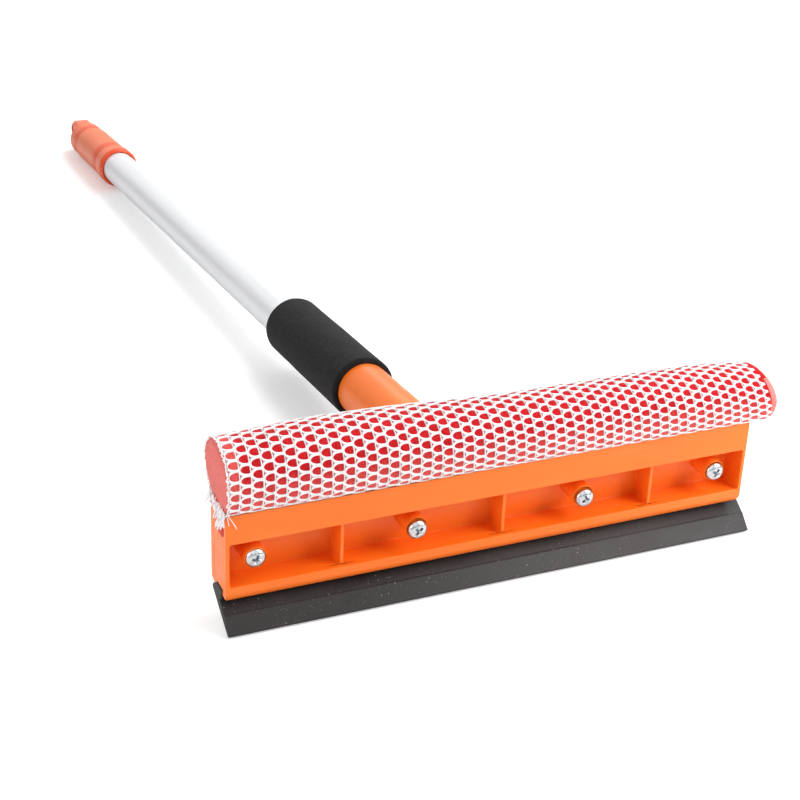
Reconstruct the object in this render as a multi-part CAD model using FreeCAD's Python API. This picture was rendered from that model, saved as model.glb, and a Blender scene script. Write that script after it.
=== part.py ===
"""Long-handled window squeegee with a clamped sponge roll, a rubber blade and a twist-lock telescopic handle.

Millimetres. +X runs along the head, +Y away from the working side along the handle, +Z up.
The origin is the middle of the blade's working edge, and the tool rests on z = 0 on that edge
and on the end grip.

Two working frames are used before the tool is laid on the floor:
  head frame    x along the head, y = 0 on the clamp's front face, z = 0 level with its bottom front edge
  handle frame  the handle's axis is Y, with y = 0 where it meets the head frame's y = 0 plane
"""
import FreeCAD, Part
import math
import os

V = FreeCAD.Vector

# ---------------------------------------------------------------- head
HEAD_LENGTH = 250.0
HEAD_HEIGHT = 40.0
CLAMP_DEPTH = 15.8          # front face to the joint with the back plate
BACK_PLATE_THICK = 3.8
BOTTOM_CORNER = 3.0         # rounded ends of the bottom edge
TOP_CORNER = 1.0

SLOT_FRONT_WALL = 2.4       # wall in front of the sponge slot
SLOT_BACK_WALL = 3.0
SLOT_DEPTH = 12.7
SLOT_CORNER = 3.0

POCKET_CEILING = 25.3       # heights of the four recessed pockets
POCKET_FLOOR = 4.6
POCKET_DEPTH = 13.0
POCKET_CORNER = 1.0
END_WALL = 1.7
RIB_THICK = 1.6
RIB_SETBACK = 2.1           # ribs stand back from the front face
RIB_XS = (-73.0, 2.8, 76.6)

LIP_THICK = 4.6             # hooked bottom lip in front of the blade
LIP_HOOK = 0.8              # undercut behind which the blade's root sits
LIP_TIP_Y = 4.2
LIP_DROP = 3.4
LIP_ROUND_TOP = 2.6         # where the rounded underside leaves the front face
LIP_BULGE = (1.05, -1.15)   # a point on that rounding
CHANNEL_ROOF = 1.4
CHANNEL_DEPTH = 11.5        # y where the back plate's foot closes the blade channel
BACK_LIP_TIP_Z = -1.5       # lowest point of that foot
BACK_HEEL_Z = 0.1

SCREW_XS = (-111.8, -39.5, 41.3, 109.2)
SCREW_Z = 16.8
BOSS_RADIUS = 5.0
BOSS_SETBACK = 0.5
BOSS_RECESS = 0.8           # shallow seat for the screw head
SCREW_HEAD_RADIUS = 4.1
SCREW_HEAD_HEIGHT = 2.5
SCREW_FACE_RADIUS = 2.5     # flat middle of the head
SCREW_RIM_HEIGHT = 1.1
SCREW_RADIUS = 2.1
SCREW_LENGTH = 22.0
SCREW_HOLE_CLEARANCE = 0.2
SEAT_CLEARANCE = 0.25       # round a screw head
RECESS_ARM = 4.6            # cross recess, tip to tip
RECESS_WIDTH = 1.1
RECESS_DEPTH = 1.5
BACK_BOSS_RADIUS = 4.8
BACK_BOSS_LENGTH = 8.6

# ---------------------------------------------------------------- rubber blade
BLADE_LENGTH = 254.0
BLADE_SHIFT = 1.5           # fitted a little to the right of centre
BLADE_SLANT = 32.4          # degrees below the head's level
BLADE_REACH = 24.2          # back face, heel to working edge
BLADE_EDGE_Y = -3.0
BLADE_EDGE_Z = -16.7
BLADE_EDGE_FLAT = 1.3       # worn flat that the blade stands on
BLADE_TIP_THICK = 2.6
BLADE_TIP_LEAD = 1.5        # the front corner runs on past the back one
BLADE_CREASE_RISE = 7.4     # from the edge, along the blade
BLADE_CREASE_THICK = 4.4
BLADE_ROOT_RISE = 15.0
BLADE_ROOT_THICK = 4.6

# ---------------------------------------------------------------- sponge roll and its net
SPONGE_RADIUS = 14.4        # over the net
SPONGE_CENTRE_Y = 9.0
SPONGE_RISE = 14.0          # its centre above the top of the head
SPONGE_FRONT_LEAN = 39.0    # degrees below its centre where the round leaves for the slot
SPONGE_BACK_LEAN = 72.0
NET_THICK = 0.9
NET_LEFT = -125.4
NET_RIGHT = 129.5
SPONGE_LEFT = -126.4
SPONGE_RIGHT = 134.5
SPONGE_END_SLANT = 14.0     # degrees, the cut end leans in towards its back and top
SPONGE_END_LEAD = 2.5       # its front lower side runs this far past the cut's middle
SLOT_TAIL_RIGHT = 124.5     # the tail in the slot stops just inside the head's right end

# ---------------------------------------------------------------- handle
HANDLE_HEIGHT = 16.4        # axis height at the front face
HANDLE_RAKE = 5.6           # degrees the handle drops from square to the head
TUBE_RADIUS = 12.0
TUBE_WALL = 1.0
INNER_RADIUS = 10.0
INNER_WALL = 1.0
RUNNING_CLEARANCE = 0.05
LOOSE_CLEARANCE = 0.3

NECK_START = 18.0
NECK_END = 158.0
NECK_RADIUS = 14.1
NECK_CORE_RADIUS = 9.5
NECK_CORE_START = 24.0
SOCKET_START = 60.0
WEB_SPAN = 55.0             # side webs that brace the neck
WEB_REACH = 74.0
WEB_TAPER = 20.0            # how far past their ends the webs' edges would meet
WEB_THICK = 3.0

FOAM_RADIUS = 16.8
FOAM_LENGTH = 106.0

NECK_SCREW_AT = 74.0
SMALL_SCREW_RADIUS = 1.75
SMALL_HEAD_RADIUS = 3.4
SMALL_HEAD_HEIGHT = 1.9
NECK_SCREW_LENGTH = 8.0

TUBE_END = 658.0
BUSH_LENGTH = 30.0
BUSH_FLANGE = 2.0

# ---------------------------------------------------------------- twist lock inside the tube
LOCK_END = 86.0             # head end of the stud
STUD_RADIUS = 4.0
STUD_HEAD_RADIUS = 6.0
STUD_HEAD_LENGTH = 2.0
SLEEVE_START = 97.0
SLEEVE_END = 124.7
SLEEVE_RING = 11.0          # solid ring that runs on the stud
SLEEVE_MOUTH_RADIUS = 8.4
SLEEVE_SLOTS = 4
SLEEVE_SLOT_WIDTH = 2.0
CONE_START = 93.6
CONE_END = 110.0
CONE_TAPER = 0.144          # radius lost per millimetre towards the sleeve
CONE_KEY_CLEARANCE = 0.15
PLUG_COLLAR_START = 125.0
PLUG_COLLAR = 3.0
PLUG_LENGTH = 24.0

# ---------------------------------------------------------------- end grip
# lengths along the grip, in order from its rim
GRIP_OVERLAP = 11.0         # how far the rim covers the outer tube's mouth
GRIP_BAND_LENGTH = 16.5
GRIP_STEP = 1.0             # length of each steep step
GRIP_FLARE_LENGTH = 13.5
GRIP_BODY_LENGTH = 50.5
GRIP_TAIL_FLARE = 11.5
GRIP_TAIL_LENGTH = 13.0
TAB_LENGTH = 20.0

GRIP_MOUTH_RADIUS = 13.4     # the rim is tapered towards its mouth
GRIP_MOUTH_TAPER = 3.5
GRIP_RIM_RADIUS = 14.5
GRIP_GROOVE_RADIUS = 12.7
GRIP_RADIUS = 13.8
GRIP_TAIL_GROOVE_RADIUS = 12.5
GRIP_TAIL_RADIUS = 13.2
GRIP_END_BEVEL = 2.0
GRIP_END_WALL = 7.0
TAB_THICK = 15.0
TAB_HALF_HEIGHT = 11.6
TAB_CORNER = 6.0
TAB_BEVEL = 2.6
TAB_ROOT = 6.0              # how far the tab runs into the grip
HANG_HOLE_INSET = 6.0       # from the tab's end
HANG_HOLE_RISE = 5.0
HANG_HOLE_RADIUS = 2.75
GRIP_SCREW_INSET = 23.0     # from the start of the grip's plain body
GRIP_SCREW_LENGTH = 7.0

# ---------------------------------------------------------------- lines worked out from the sizes above
HEAD_BACK = CLAMP_DEPTH + BACK_PLATE_THICK
SLOT_FLOOR = HEAD_HEIGHT - SLOT_DEPTH
SLOT_BACK = CLAMP_DEPTH - SLOT_BACK_WALL
TUBE_START = SOCKET_START + 2.0
BUSH_BORE = INNER_RADIUS + RUNNING_CLEARANCE
SLEEVE_RADIUS = TUBE_RADIUS - TUBE_WALL - RUNNING_CLEARANCE
GRIP_START = TUBE_END - GRIP_OVERLAP
GRIP_BAND_END = GRIP_START + GRIP_BAND_LENGTH
GRIP_BODY_START = GRIP_BAND_END + GRIP_FLARE_LENGTH
GRIP_BODY_END = GRIP_BODY_START + GRIP_BODY_LENGTH
GRIP_TAIL_START = GRIP_BODY_END + GRIP_TAIL_FLARE
GRIP_END = GRIP_TAIL_START + GRIP_TAIL_LENGTH
INNER_TUBE_END = GRIP_END - GRIP_END_WALL
TAB_END = GRIP_END + TAB_LENGTH
HANG_HOLE_AT = TAB_END - HANG_HOLE_INSET
GRIP_SCREW_AT = GRIP_BODY_START + GRIP_SCREW_INSET
GRIP_SEAT = GRIP_RADIUS - SMALL_HEAD_HEIGHT - 0.2      # radius at which the grip screw's head sits


def floor_angle():
    """Angle, in radians, by which the floor falls towards the grip in the head frame."""
    rake = math.radians(HANDLE_RAKE)
    run = GRIP_BODY_END * math.cos(rake) - BLADE_EDGE_Y
    rise = HANDLE_HEIGHT - GRIP_BODY_END * math.sin(rake) - BLADE_EDGE_Z
    return math.asin(GRIP_RADIUS / math.hypot(run, rise)) - math.atan2(rise, run)


FLOOR_ANGLE = floor_angle()

HANDLE_TO_HEAD = FreeCAD.Placement(V(0, 0, HANDLE_HEIGHT), FreeCAD.Rotation(V(1, 0, 0), -HANDLE_RAKE))
TO_FLOOR = FreeCAD.Placement(V(0, BLADE_EDGE_FLAT / 2, 0),
                             FreeCAD.Rotation(V(1, 0, 0), math.degrees(FLOOR_ANGLE)))
TO_EDGE = FreeCAD.Placement(V(-BLADE_SHIFT, -BLADE_EDGE_Y, -BLADE_EDGE_Z), FreeCAD.Rotation())
HEAD_TO_ROW = TO_FLOOR.multiply(TO_EDGE)
HANDLE_TO_ROW = HEAD_TO_ROW.multiply(HANDLE_TO_HEAD)


# ---------------------------------------------------------------- helpers
def wire(points):
    """Closed wire in the YZ plane through (y, z) points; a point given as a list is the middle of an arc."""
    corners = [V(0, *p) for p in points if not isinstance(p, list)]
    edges = []
    mid = None
    last = corners[0]
    for point in points[1:] + points[:1]:
        if isinstance(point, list):
            mid = V(0, *point)
            continue
        here = V(0, *point)
        if mid is not None:
            edges.append(Part.Arc(last, mid, here).toShape())
            mid = None
        elif here.sub(last).Length > 1e-6:
            edges.append(Part.makeLine(last, here))
        last = here
    return Part.Wire(edges)


def bar(points, x_from, x_to):
    """The YZ outline carried along X."""
    face = Part.Face(wire(points))
    face.translate(V(x_from, 0, 0))
    return face.extrude(V(x_to - x_from, 0, 0))


def turned(points):
    """Solid of revolution about Y from (y, radius) points."""
    corners = [V(0, y, r) for y, r in points]
    outline = Part.Wire([Part.makeLine(a, b) for a, b in zip(corners, corners[1:] + corners[:1])])
    return Part.Face(outline).revolve(V(0, 0, 0), V(0, 1, 0), 360)


def rod(radius, start, end):
    """Cylinder on the Y axis."""
    return Part.makeCylinder(radius, end - start, V(0, start, 0), V(0, 1, 0))


def pipe(outer, inner, start, end):
    return rod(outer, start, end).cut(rod(inner, start - 1, end + 1))


def box(x, y, z):
    """Box between (low, high) pairs."""
    return Part.makeBox(x[1] - x[0], y[1] - y[0], z[1] - z[0], V(x[0], y[0], z[0]))


def rounded(solid, radius, wanted):
    """Fillets the edges for which wanted(edge) holds."""
    return solid.makeFillet(radius, [edge for edge in solid.Edges if wanted(edge)])


def runs_along(edge, axis):
    """True for a straight edge parallel to the axis."""
    if not isinstance(edge.Curve, Part.Line):
        return False
    return abs(edge.Curve.Direction.dot(axis)) > 0.9999


def cross_recess(face_y, depth):
    """Cross-shaped driver recess, opening towards -Y at face_y on the Y axis."""
    half, arm = RECESS_WIDTH / 2, RECESS_ARM / 2
    level = box((-arm, arm), (face_y - 1, face_y + depth), (-half, half))
    upright = box((-half, half), (face_y - 1, face_y + depth), (-arm, arm))
    return level.fuse(upright)


def clamp_screw():
    """One clamp screw on the Y axis: its bevelled head with a cross recess lies at y < 0."""
    face = -SCREW_HEAD_HEIGHT
    head = turned([(face, 0), (face, SCREW_FACE_RADIUS), (-SCREW_RIM_HEIGHT, SCREW_HEAD_RADIUS),
                   (0, SCREW_HEAD_RADIUS), (0, 0)])
    return head.cut(cross_recess(face, RECESS_DEPTH)).fuse(rod(SCREW_RADIUS, 0, SCREW_LENGTH))


def small_screw(length):
    """One of the handle's two screws on the Y axis: its head lies at y < 0 and its shank runs to +length."""
    head = rod(SMALL_HEAD_RADIUS, -SMALL_HEAD_HEIGHT, 0)
    return head.fuse(rod(SMALL_SCREW_RADIUS, 0, length))


def from_below(solid, at, radius):
    """Stands a screw made along Y upright under the handle, its head's seat at the given radius."""
    solid = solid.copy()
    solid.Placement = FreeCAD.Placement(V(0, at, -radius), FreeCAD.Rotation(V(1, 0, 0), 90))
    return solid


# ---------------------------------------------------------------- head pieces, in the head frame
def sponge_outline(inset):
    """The roll's outline with its tail in the slot; inset shrinks it for the sponge under its net."""
    radius = SPONGE_RADIUS - inset
    corner = SLOT_CORNER - inset
    bend = corner * (1 - math.sqrt(0.5))
    front, back, floor = SLOT_FRONT_WALL + inset, SLOT_BACK - inset, SLOT_FLOOR + inset

    def on_roll(degrees):
        turn = math.radians(degrees)
        return (SPONGE_CENTRE_Y + radius * math.cos(turn),
                HEAD_HEIGHT + SPONGE_RISE + radius * math.sin(turn))

    return [
        (front, floor + corner), (front, HEAD_HEIGHT), on_roll(180 + SPONGE_FRONT_LEAN), [*on_roll(90)],
        on_roll(-SPONGE_BACK_LEAN), (back, HEAD_HEIGHT), (back, floor + corner),
        [back - bend, floor + bend], (back - corner, floor), (front + corner, floor),
        [front + bend, floor + bend],
    ]


def head_ends():
    """Block that gives the head's two ends their rounded corners."""
    half = HEAD_LENGTH / 2
    block = box((-half, half), (-HEAD_BACK, 2 * HEAD_BACK), (-LIP_DROP, HEAD_HEIGHT))
    block = rounded(block, BOTTOM_CORNER, lambda e: runs_along(e, V(0, 1, 0)) and e.CenterOfMass.z < 0)
    return rounded(block, TOP_CORNER,
                   lambda e: runs_along(e, V(0, 1, 0)) and e.CenterOfMass.z > HEAD_HEIGHT - 1e-6)


def clamp_plate():
    """Moulded front clamp: sponge slot on top, four screw pockets in front, hooked lip below."""
    half = HEAD_LENGTH / 2
    outline = [
        (0, LIP_ROUND_TOP), (0, HEAD_HEIGHT), (CLAMP_DEPTH, HEAD_HEIGHT),
        (CLAMP_DEPTH, CHANNEL_ROOF + 1.5), (CHANNEL_DEPTH, CHANNEL_ROOF), (LIP_THICK, CHANNEL_ROOF),
        (LIP_THICK + LIP_HOOK, 0.4 - LIP_DROP), (LIP_TIP_Y, -LIP_DROP), [*LIP_BULGE],
    ]
    body = bar(outline, -half, half).common(head_ends())
    slot = box((-half - 1, half + 1), (SLOT_FRONT_WALL, SLOT_BACK), (SLOT_FLOOR, HEAD_HEIGHT + 1))
    body = body.cut(rounded(slot, SLOT_CORNER,
                            lambda e: runs_along(e, V(1, 0, 0)) and e.CenterOfMass.z < SLOT_FLOOR + 1e-6))

    inside = half - END_WALL
    body = body.cut(rounded(box((-inside, inside), (-1, RIB_SETBACK), (POCKET_FLOOR, POCKET_CEILING)),
                            POCKET_CORNER, lambda e: runs_along(e, V(0, 1, 0))))
    left_sides = [-inside] + [x + RIB_THICK / 2 for x in RIB_XS]
    right_sides = [x - RIB_THICK / 2 for x in RIB_XS] + [inside]
    for left, right in zip(left_sides, right_sides):
        pocket = box((left, right), (-1, POCKET_DEPTH), (POCKET_FLOOR, POCKET_CEILING))
        body = body.cut(rounded(pocket, POCKET_CORNER, lambda e: runs_along(e, V(0, 1, 0))))

    seat = BOSS_SETBACK + BOSS_RECESS
    for x in SCREW_XS:
        boss = rod(BOSS_RADIUS, BOSS_SETBACK, POCKET_DEPTH + 0.5)
        hole = rod(SCREW_RADIUS + SCREW_HOLE_CLEARANCE, -1, CLAMP_DEPTH + 1)
        recess = rod(SCREW_HEAD_RADIUS + SEAT_CLEARANCE, -1, seat)
        for piece in (boss, hole, recess):
            piece.translate(V(x, 0, SCREW_Z))
        body = body.fuse(boss).cut(hole.fuse(recess))
    return body.removeSplitter()


def clamp_screws():
    """The four clamp screws, seated on their bosses."""
    seat = BOSS_SETBACK + BOSS_RECESS
    screws = []
    for x in SCREW_XS:
        screw = clamp_screw()
        screw.translate(V(x, seat, SCREW_Z))
        screws.append(screw)
    return Part.makeCompound(screws)


def back_plate():
    """Back plate with the foot that presses on the blade, screw bosses, braced neck and tube socket."""
    half = HEAD_LENGTH / 2
    outline = [
        (CLAMP_DEPTH, HEAD_HEIGHT), (HEAD_BACK, HEAD_HEIGHT), (HEAD_BACK, BACK_HEEL_Z),
        (CLAMP_DEPTH + 0.2, BACK_LIP_TIP_Z), (CHANNEL_DEPTH, CHANNEL_ROOF),
        (CLAMP_DEPTH, CHANNEL_ROOF + 1.5),
    ]
    body = bar(outline, -half, half).common(head_ends())
    seat = BOSS_SETBACK + BOSS_RECESS
    tip = seat + SCREW_LENGTH
    holes = []
    for x in SCREW_XS:
        boss = rod(BACK_BOSS_RADIUS, HEAD_BACK - 1, HEAD_BACK + BACK_BOSS_LENGTH)
        hole = rod(SCREW_RADIUS, CLAMP_DEPTH - 1, tip + 0.5)
        boss.translate(V(x, 0, SCREW_Z))
        hole.translate(V(x, 0, SCREW_Z))
        body = body.fuse(boss)
        holes.append(hole)

    neck = rod(NECK_RADIUS, NECK_START, NECK_END)
    web_half = WEB_THICK / 2
    web = Part.makePolygon([V(-WEB_SPAN, NECK_START, -web_half), V(WEB_SPAN, NECK_START, -web_half),
                            V(0, WEB_REACH + WEB_TAPER, -web_half), V(-WEB_SPAN, NECK_START, -web_half)])
    web = Part.Face(web).extrude(V(0, 0, WEB_THICK))
    web = web.common(box((-WEB_SPAN, WEB_SPAN), (NECK_START, WEB_REACH), (-web_half, web_half)))
    socket = rod(TUBE_RADIUS, SOCKET_START, NECK_END + 1)
    core = rod(NECK_CORE_RADIUS, NECK_CORE_START, SOCKET_START + 1)
    screw_hole = from_below(rod(SMALL_SCREW_RADIUS, -2, 6), NECK_SCREW_AT, NECK_RADIUS)
    neck = neck.fuse(web).cut(socket.fuse(core)).cut(screw_hole)
    neck.Placement = HANDLE_TO_HEAD
    return body.fuse(neck).cut(holes).removeSplitter()


def rubber_blade():
    """Slanted rubber blade: a root held in the channel, a thick body, and a thinner lip past its crease."""
    slant = math.radians(BLADE_SLANT)
    along = (math.cos(slant), math.sin(slant))      # up the blade, from the edge to the heel
    out = (-math.sin(slant), math.cos(slant))       # from the back face to the front face

    def place(rise, thick):
        return (BLADE_EDGE_Y + rise * along[0] + thick * out[0],
                BLADE_EDGE_Z + rise * along[1] + thick * out[1])

    flat = (BLADE_EDGE_Y - BLADE_EDGE_FLAT * math.cos(FLOOR_ANGLE),
            BLADE_EDGE_Z + BLADE_EDGE_FLAT * math.sin(FLOOR_ANGLE))
    outline = [
        place(0, 0), flat, place(-BLADE_TIP_LEAD, BLADE_TIP_THICK),
        place(BLADE_CREASE_RISE, BLADE_CREASE_THICK), place(BLADE_ROOT_RISE, BLADE_ROOT_THICK),
        (LIP_THICK + LIP_HOOK, 0.4 - LIP_DROP), (LIP_THICK, CHANNEL_ROOF),
        (CHANNEL_DEPTH, CHANNEL_ROOF), (CLAMP_DEPTH + 0.2, BACK_LIP_TIP_Z), place(BLADE_REACH, 0),
    ]
    middle = BLADE_SHIFT
    return bar(outline, middle - BLADE_LENGTH / 2, middle + BLADE_LENGTH / 2)


def sponge():
    """Sponge roll with its tail in the slot; its right end is cut at a slant."""
    body = bar(sponge_outline(NET_THICK), SPONGE_LEFT, SPONGE_RIGHT)
    reach = 80.0
    beyond = box((0, reach), (-reach, reach), (-reach, reach))
    turn = FreeCAD.Rotation(V(0, -1, 1), SPONGE_END_SLANT)
    middle = V(SPONGE_RIGHT - SPONGE_END_LEAD, SPONGE_CENTRE_Y, HEAD_HEIGHT + SPONGE_RISE)
    beyond.Placement = FreeCAD.Placement(middle, turn)
    return body.cut(beyond).cut(tail_beyond_slot())


def tail_beyond_slot():
    """The room to the right of the slot, where the roll overhangs and its tail is trimmed away."""
    return box((SLOT_TAIL_RIGHT, 2 * SPONGE_RIGHT), (-HEAD_BACK, 2 * HEAD_BACK), (0, HEAD_HEIGHT + 1))


def sponge_net():
    """The net sleeve, a thin skin that wraps the sponge and its tail."""
    inner = bar(sponge_outline(NET_THICK), NET_LEFT - 1, NET_RIGHT + 1)
    return bar(sponge_outline(0), NET_LEFT, NET_RIGHT).cut(inner).cut(tail_beyond_slot())


# ---------------------------------------------------------------- handle pieces, in the handle frame
def outer_tube():
    tube = pipe(TUBE_RADIUS, TUBE_RADIUS - TUBE_WALL, TUBE_START, TUBE_END)
    return tube.cut(from_below(rod(SMALL_SCREW_RADIUS, -2, 6), NECK_SCREW_AT, NECK_RADIUS))


def neck_screw():
    """Screw from below that pins the tube in the neck; a flat seat is faced under its head."""
    return from_below(small_screw(NECK_SCREW_LENGTH), NECK_SCREW_AT, NECK_RADIUS)


def foam_grip():
    return pipe(FOAM_RADIUS, TUBE_RADIUS, NECK_END, NECK_END + FOAM_LENGTH)


def mouth_bush():
    """Plastic bush pressed in the outer tube's mouth, on which the inner tube runs."""
    start = TUBE_END - BUSH_LENGTH
    sleeve = rod(TUBE_RADIUS - TUBE_WALL, start, TUBE_END + BUSH_FLANGE)
    flange = rod(TUBE_RADIUS, TUBE_END, TUBE_END + BUSH_FLANGE)
    return sleeve.fuse(flange).cut(rod(BUSH_BORE, start - 1, TUBE_END + BUSH_FLANGE + 1)).removeSplitter()


def lock_sleeve():
    """Slotted sleeve that the cone spreads against the outer tube's wall."""
    throat = SLEEVE_END - SLEEVE_RING
    body = pipe(SLEEVE_RADIUS, STUD_RADIUS + RUNNING_CLEARANCE, SLEEVE_START, SLEEVE_END)
    body = body.cut(rod(SLEEVE_MOUTH_RADIUS, SLEEVE_START - 1, throat))
    half = SLEEVE_SLOT_WIDTH / 2
    for i in range(SLEEVE_SLOTS):
        slot = box((0, TUBE_RADIUS), (SLEEVE_START - 1, throat + 2), (-half, half))
        slot.rotate(V(0, 0, 0), V(0, 1, 0), i * 360 / SLEEVE_SLOTS)
        body = body.cut(slot)
    return body


def lock_cone():
    """Tapered nut on the stud; its keys run in the sleeve's slots and stop it turning."""
    wide = SLEEVE_MOUTH_RADIUS + CONE_TAPER * (SLEEVE_START - CONE_START) - RUNNING_CLEARANCE
    narrow = SLEEVE_MOUTH_RADIUS - CONE_TAPER * (CONE_END - SLEEVE_START) - RUNNING_CLEARANCE
    body = turned([(CONE_START, 0), (CONE_START, wide), (CONE_END, narrow), (CONE_END, 0)])
    half = SLEEVE_SLOT_WIDTH / 2 - CONE_KEY_CLEARANCE
    key_reach = SLEEVE_RADIUS - 2 * LOOSE_CLEARANCE
    for i in range(0, SLEEVE_SLOTS, 2):
        key = box((0, key_reach), (CONE_START, CONE_END - 2), (-half, half))
        key.rotate(V(0, 0, 0), V(0, 1, 0), i * 360 / SLEEVE_SLOTS)
        body = body.fuse(key)
    return body.cut(rod(STUD_RADIUS + RUNNING_CLEARANCE, CONE_START - 1, CONE_END + 1)).removeSplitter()


def lock_plug():
    """Plug pressed in the inner tube, with the stud that carries the sleeve and the cone."""
    bore = INNER_RADIUS - INNER_WALL
    tube_start = PLUG_COLLAR_START + PLUG_COLLAR
    return turned([
        (LOCK_END, 0), (LOCK_END, STUD_HEAD_RADIUS), (LOCK_END + STUD_HEAD_LENGTH, STUD_HEAD_RADIUS),
        (LOCK_END + STUD_HEAD_LENGTH, STUD_RADIUS), (PLUG_COLLAR_START, STUD_RADIUS),
        (PLUG_COLLAR_START, INNER_RADIUS), (tube_start, INNER_RADIUS), (tube_start, bore),
        (tube_start + PLUG_LENGTH, bore), (tube_start + PLUG_LENGTH, 0),
    ])


def inner_tube():
    tube = pipe(INNER_RADIUS, INNER_RADIUS - INNER_WALL, PLUG_COLLAR_START + PLUG_COLLAR, INNER_TUBE_END)
    return tube.cut(from_below(rod(SMALL_SCREW_RADIUS, -1, GRIP_SCREW_LENGTH), GRIP_SCREW_AT, GRIP_SEAT))


def end_grip():
    """Moulded grip: rim over the tube's mouth, two stepped grooves, and a hanging tab with its hole."""
    body = turned([
        (GRIP_START, 0), (GRIP_START, GRIP_MOUTH_RADIUS), (GRIP_START + GRIP_MOUTH_TAPER, GRIP_RIM_RADIUS),
        (GRIP_BAND_END, GRIP_RIM_RADIUS),
        (GRIP_BAND_END + GRIP_STEP, GRIP_GROOVE_RADIUS), (GRIP_BODY_START, GRIP_RADIUS),
        (GRIP_BODY_END, GRIP_RADIUS), (GRIP_BODY_END + GRIP_STEP, GRIP_TAIL_GROOVE_RADIUS),
        (GRIP_TAIL_START, GRIP_TAIL_RADIUS), (GRIP_END - GRIP_END_BEVEL, GRIP_TAIL_RADIUS),
        (GRIP_END, GRIP_TAIL_RADIUS - GRIP_END_BEVEL), (GRIP_END, 0),
    ])
    half = TAB_THICK / 2
    tab = box((-half, half), (GRIP_END - TAB_ROOT, TAB_END), (-TAB_HALF_HEIGHT, TAB_HALF_HEIGHT))
    tab = rounded(tab, TAB_CORNER, lambda e: runs_along(e, V(1, 0, 0)) and e.CenterOfMass.y > GRIP_END)
    rims = [e for e in tab.Edges if abs(abs(e.CenterOfMass.x) - half) < 1e-6
            and e.BoundBox.YMax > GRIP_END - TAB_ROOT + 1e-6]
    tab = tab.makeChamfer(TAB_BEVEL, rims)
    body = body.fuse(tab)

    shoulder = TUBE_END + BUSH_FLANGE + LOOSE_CLEARANCE
    cup_radius = TUBE_RADIUS + LOOSE_CLEARANCE
    cup = rod(cup_radius, GRIP_START - 1, shoulder)
    bore = rod(INNER_RADIUS, shoulder - 1, INNER_TUBE_END)
    hang_hole = Part.makeCylinder(HANG_HOLE_RADIUS, TAB_THICK + 2, V(-half - 1, HANG_HOLE_AT, HANG_HOLE_RISE),
                                  V(1, 0, 0))
    head_well = from_below(rod(SMALL_HEAD_RADIUS + SEAT_CLEARANCE, -4, 0), GRIP_SCREW_AT, GRIP_SEAT)
    screw_hole = from_below(rod(SMALL_SCREW_RADIUS, -1, GRIP_SCREW_LENGTH), GRIP_SCREW_AT, GRIP_SEAT)
    return body.cut(cup.fuse(bore)).cut(hang_hole).cut(head_well.fuse(screw_hole)).removeSplitter()


def grip_screw():
    """Screw that pins the end grip to the inner tube, its head sunk in the grip."""
    return from_below(small_screw(GRIP_SCREW_LENGTH), GRIP_SCREW_AT, GRIP_SEAT)


HEAD_PIECES = (clamp_plate, back_plate, clamp_screws, rubber_blade, sponge, sponge_net)
HANDLE_PIECES = (outer_tube, neck_screw, foam_grip, mouth_bush, lock_sleeve, lock_cone, lock_plug,
                 inner_tube, end_grip, grip_screw)


def write(make, placement):
    """Builds one piece, lays it in the row frame and writes its STEP file."""
    piece = make()
    piece.Placement = placement.multiply(piece.Placement)
    piece.exportStep(f"parts/{make.__name__}.step")
    bounds = piece.BoundBox
    print(f"{make.__name__:14} solids {len(piece.Solids)} valid {piece.isValid()} volume {piece.Volume:9.1f} "
          f"x {bounds.XMin:7.1f} {bounds.XMax:7.1f} y {bounds.YMin:7.1f} {bounds.YMax:7.1f} "
          f"z {bounds.ZMin:6.2f} {bounds.ZMax:6.2f}")


os.makedirs("parts", exist_ok=True)
for make_piece in HEAD_PIECES:
    write(make_piece, HEAD_TO_ROW)
for make_piece in HANDLE_PIECES:
    write(make_piece, HANDLE_TO_ROW)
axis = HANDLE_TO_ROW.Rotation.multVec(V(0, 1, 0))
print("handle axis", axis, "hang hole", HANDLE_TO_ROW.multVec(V(0, HANG_HOLE_AT, HANG_HOLE_RISE)))
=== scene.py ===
"""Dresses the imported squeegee: a knitted net over a sponge roll, a dusty rubber blade, moulded orange
plastic, a satin tube with a foam sleeve, bright screws, and a pale studio floor.

Sizes in this script are millimetres in two frames, as in the part's own drawing:
  head frame    x along the head, y = 0 on the clamp's front face, z = 0 at its bottom front edge
  handle frame  the handle's axis is Y, with y = 0 where it meets the head frame's y = 0 plane
"""

import math
import random

import bmesh
import bpy
from mathutils import Matrix, Vector, noise


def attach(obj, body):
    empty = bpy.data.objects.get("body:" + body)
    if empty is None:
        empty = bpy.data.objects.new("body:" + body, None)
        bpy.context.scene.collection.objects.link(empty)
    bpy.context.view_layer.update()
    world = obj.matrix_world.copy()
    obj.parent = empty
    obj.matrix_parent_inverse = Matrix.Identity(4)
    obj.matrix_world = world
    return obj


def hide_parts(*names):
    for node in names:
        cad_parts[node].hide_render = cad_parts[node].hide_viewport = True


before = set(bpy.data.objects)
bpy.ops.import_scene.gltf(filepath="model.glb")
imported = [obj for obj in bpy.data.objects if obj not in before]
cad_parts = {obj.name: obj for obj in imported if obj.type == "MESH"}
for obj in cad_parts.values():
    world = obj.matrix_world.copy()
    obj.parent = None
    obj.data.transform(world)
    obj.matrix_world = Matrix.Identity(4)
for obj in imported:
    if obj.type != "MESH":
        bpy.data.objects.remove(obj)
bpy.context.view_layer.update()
HEAD_BODY = "head_and_tube"

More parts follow.
